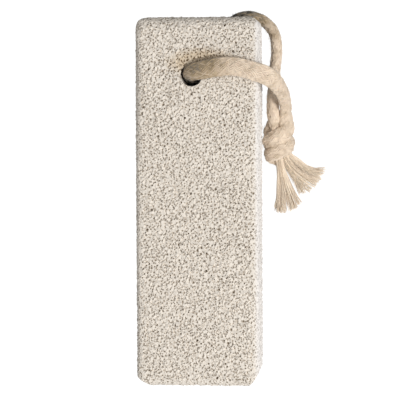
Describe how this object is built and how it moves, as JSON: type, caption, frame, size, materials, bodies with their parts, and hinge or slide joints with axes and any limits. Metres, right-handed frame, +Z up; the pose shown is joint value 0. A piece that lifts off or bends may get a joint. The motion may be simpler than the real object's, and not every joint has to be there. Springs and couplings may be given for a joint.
{
  "type": "pumice stone",
  "caption": "Block-shaped pumice stone with rounded edges and a drilled hole, lying on its back, with a soft cotton cord looped through it, knotted and frayed at the ends.",
  "frame": {"origin": "under the middle of the stone, on the surface that it lies on", "axes": "+Z up, +Y along the stone towards the end with the hole, +X to the side that the cord lies on"},
  "size_m": [0.0607, 0.1248, 0.0342],
  "materials": {
    "pumice": "dry, matte and full of open pores, warm pale grey",
    "cotton_cord": "soft undyed cotton braid, matte and slightly fuzzy"
  },
  "bodies": {
    "root": {"pumice_stone": "pumice", "cord_loop": "cotton_cord", "cord_knot": "cotton_cord", "frayed_end_lower": "cotton_cord", "frayed_end_right": "cotton_cord"}
  },
  "joints": []
}
